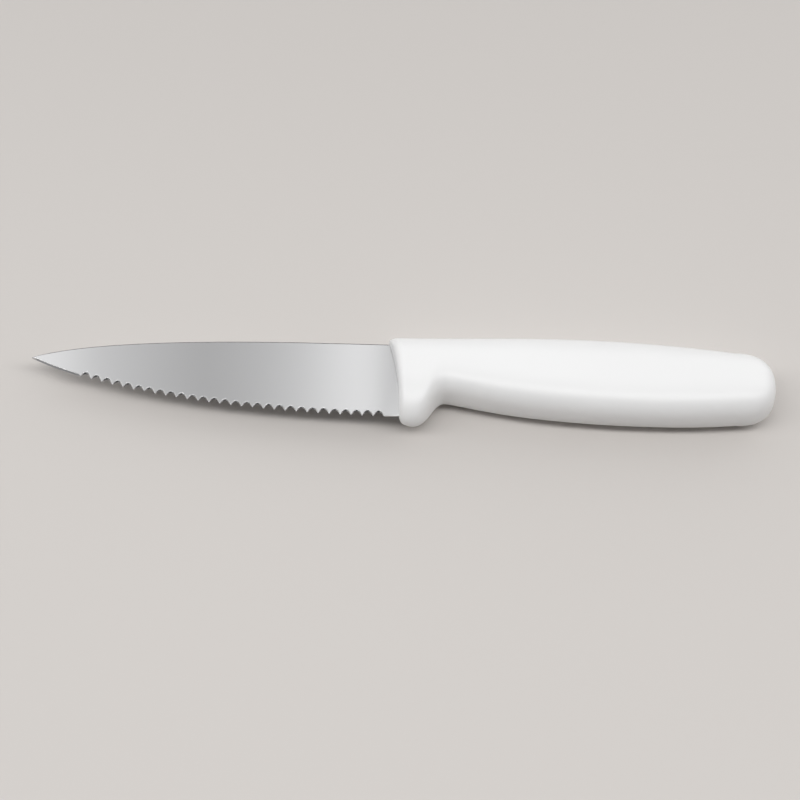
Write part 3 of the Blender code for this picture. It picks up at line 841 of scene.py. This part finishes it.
def glow_material(name, axis, stops):
    """Light whose strength changes along an axis of the piece's own box."""
    material, nodes = new_material(name)
    place = nodes.add("ShaderNodeTexCoord")
    parts = nodes.add("ShaderNodeSeparateXYZ", {"Vector": place.outputs["Generated"]})
    ramp = nodes.add("ShaderNodeValToRGB", {"Fac": parts.outputs[axis]})
    band = ramp.color_ramp
    while len(band.elements) < len(stops):
        band.elements.new(0.5)                  # placed below
    for element, (at, strength) in zip(band.elements, stops):
        element.position = at
        element.color = (strength, strength, strength, 1.0)
    glow = nodes.add("ShaderNodeEmission", {"Color": ramp.outputs["Color"], "Strength": 1.0})
    nodes.add("ShaderNodeOutputMaterial", {"Surface": glow.outputs[0]})
    return material


def only_in_gloss(card, material):
    """A studio card that nothing but a reflection shows."""
    card.data.materials.append(material)
    card.visible_camera = False
    card.visible_diffuse = False
    card.visible_shadow = False


def make_bright_card():
    """A card over the knife that the ground face mirrors along its length."""
    bm = bmesh.new()
    bmesh.ops.create_grid(bm, x_segments=1, y_segments=1, size=0.5)
    card = new_object("bright_card", bm)
    target = Vector(CARD_TARGET)
    back = Vector((0.0, math.cos(CARD_ELEVATION), math.sin(CARD_ELEVATION)))
    aim(card, target + back * CARD_DISTANCE, target)
    card.scale = (*CARD_SIZE, 1.0)
    only_in_gloss(card, glow_material("card_glow", "X", CARD_GLOW))


def make_rim_cards():
    """Cards over and behind the knife that the buffed rims and the teeth's tips mirror."""
    (left, right), (front, back), height = RIM_CARD
    across, (near, far), (low, high) = WING_CARD
    quads = {"rim_card": ([(left, front, height), (left, back, height), (right, back, height),
                           (right, front, height)], RIM_GLOW)}
    for name, x in (("left_wing", -across), ("right_wing", across)):
        quads[name] = ([(x, near, low), (x, far, low), (x, far, high), (x, near, high)], WING_GLOW)
    for name, (corners, glow) in quads.items():
        bm = bmesh.new()
        bm.faces.new([bm.verts.new(corner) for corner in corners])
        only_in_gloss(new_object(name, bm),
                      glow_material(name + "_glow", "Y", ((0.0, glow), (1.0, glow))))


def make_ring(name, low_rises, high_rises, stops):
    """A dim ring round the knife, highest in front: what the edge and the spine mirror."""
    bm = bmesh.new()
    rows = []
    for index in range(RING_SEGMENTS):
        around = 2 * math.pi * index / RING_SEGMENTS
        x, y = RING_RADIUS * math.cos(around), RING_RADIUS * math.sin(around)
        rises = [np.interp(math.sin(around), *zip(*side)) for side in (low_rises, high_rises)]
        rows.append([bm.verts.new((x, y, RING_RADIUS * math.tan(math.radians(rise))))
                     for rise in rises])
    for row, following in zip(rows, rows[1:] + rows[:1]):
        bm.faces.new((row[0], following[0], following[1], row[1]))
    only_in_gloss(new_object(name, bm), glow_material(name + "_glow", "X", stops))


def make_camera():
    data = bpy.data.cameras.new("camera")
    data.sensor_width = SENSOR
    data.lens = SENSOR / 2 / math.tan(VIEW_FIELD / 2)
    data.clip_start = VIEW_CLIP
    camera = bpy.data.objects.new("camera", data)
    bpy.context.scene.collection.objects.link(camera)
    back = Vector((math.sin(VIEW_AZIMUTH) * math.cos(VIEW_ELEVATION),
                   -math.cos(VIEW_AZIMUTH) * math.cos(VIEW_ELEVATION), math.sin(VIEW_ELEVATION)))
    target = Vector(VIEW_TARGET)
    aim(camera, target + back * VIEW_DISTANCE, target)
    bpy.context.scene.camera = camera


def main():
    bpy.context.scene.view_settings.view_transform = "Standard"
    make_camera()
    make_world()
    make_lamp()
    make_bright_card()
    make_rim_cards()
    make_ring("low_ring", GROUND_RISES, LOW_RISES, LOW_GLOW)
    make_ring("high_ring", LOW_RISES, HIGH_RISES, HIGH_GLOW)
    make_floor()
    steel = steel_material()
    plastic = plastic_material()
    seat(make_blade(), "blade", [steel])
    seat(make_handle(), "handle", [plastic])
    bpy.context.view_layer.update()


main()
